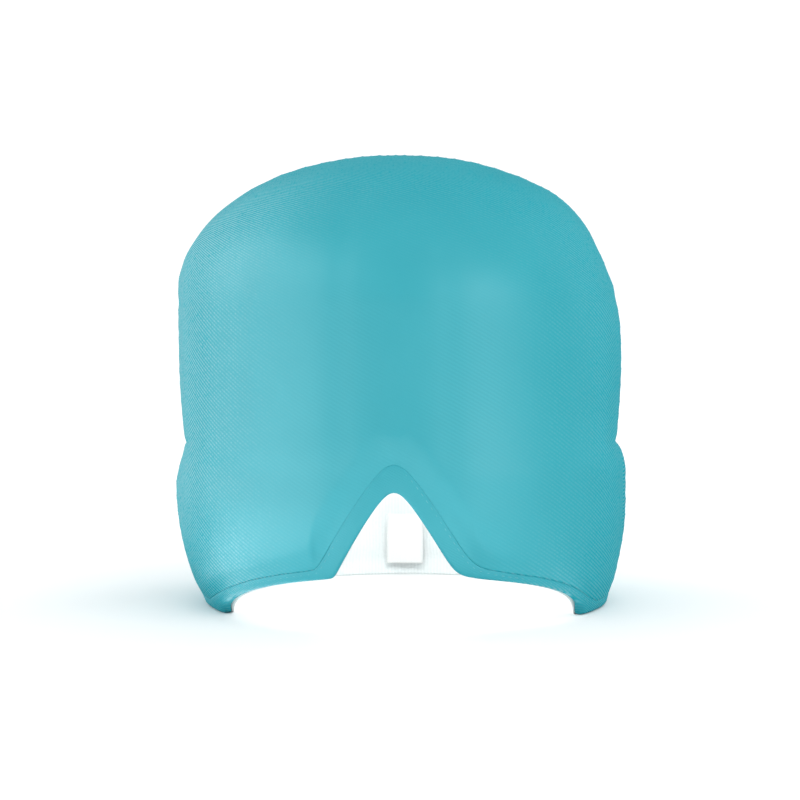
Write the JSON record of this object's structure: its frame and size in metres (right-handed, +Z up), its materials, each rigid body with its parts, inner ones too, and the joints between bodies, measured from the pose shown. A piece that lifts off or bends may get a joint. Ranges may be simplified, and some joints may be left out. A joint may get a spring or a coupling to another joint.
{
  "type": "gel head cap with eye shade",
  "caption": "Pull-on stretch-knit head cap with gel chambers, an eye shade and a nose notch, worn hot or cold over the crown, forehead and eyes.",
  "frame": {"origin": "centre of the head opening on the rest plane, under the ear line", "axes": "+Z up towards the crown, -Y out of the face, +X towards the wearer's left"},
  "size_m": [0.1848, 0.2182, 0.1826],
  "materials": {
    "knit_cover": "fine stretch knit with a soft satin sheen",
    "hem_band": "flat bonded knit edge",
    "soft_lining": "pale brushed knit",
    "welded_film": "clear soft film",
    "gel": "soft clear gel",
    "sewing_thread": "fine twisted polyester thread",
    "tag": "white satin tape, blank"
  },
  "bodies": {
    "front_half": {"front_cover": "knit_cover", "front_lining": "soft_lining", "front_film": "welded_film", "forehead_gel_centre": "gel", "forehead_gel_left": "gel", "forehead_gel_right": "gel", "temple_gel_left": "gel", "temple_gel_right": "gel", "cheek_gel_left": "gel", "cheek_gel_right": "gel", "crown_front_gel_centre": "gel", "crown_front_gel_left": "gel", "crown_front_gel_right": "gel", "side_hem_left": "hem_band", "side_hem_right": "hem_band", "crown_seam_tape": "hem_band", "crown_seam_thread": "sewing_thread", "side_thread_left": "sewing_thread", "side_thread_right": "sewing_thread"},
    "eye_shade": {"eye_shade_cover": "knit_cover", "eye_shade_lining": "soft_lining", "eye_shade_film": "welded_film", "eye_gel_left": "gel", "eye_gel_right": "gel", "eye_shade_hem": "hem_band", "eye_shade_thread": "sewing_thread"},
    "rear_half": {"rear_cover": "knit_cover", "rear_lining": "soft_lining", "rear_film": "welded_film", "crown_rear_gel_left": "gel", "crown_rear_gel_right": "gel", "side_gel_left": "gel", "side_gel_right": "gel", "back_gel_left": "gel", "back_gel_right": "gel", "neck_gel_left": "gel", "neck_gel_right": "gel", "nape_gel_left": "gel", "nape_gel_right": "gel", "rear_hem": "hem_band", "rear_thread": "sewing_thread", "care_tag": "tag"}
  },
  "joints": [
    {"name": "shade_lift", "type": "hinge", "parent": "front_half", "child": "eye_shade", "pos_m": [0, -0.10134, 0.075], "axis": [-1, 0, 0], "range_deg": [0, 25], "stiffness_Nm_per_rad": 0.05},
    {"name": "ear_stretch", "type": "slide", "parent": "front_half", "child": "rear_half", "axis": [0, 1, 0], "range_m": [0, 0.022], "stiffness_N_per_m": 150}
  ]
}
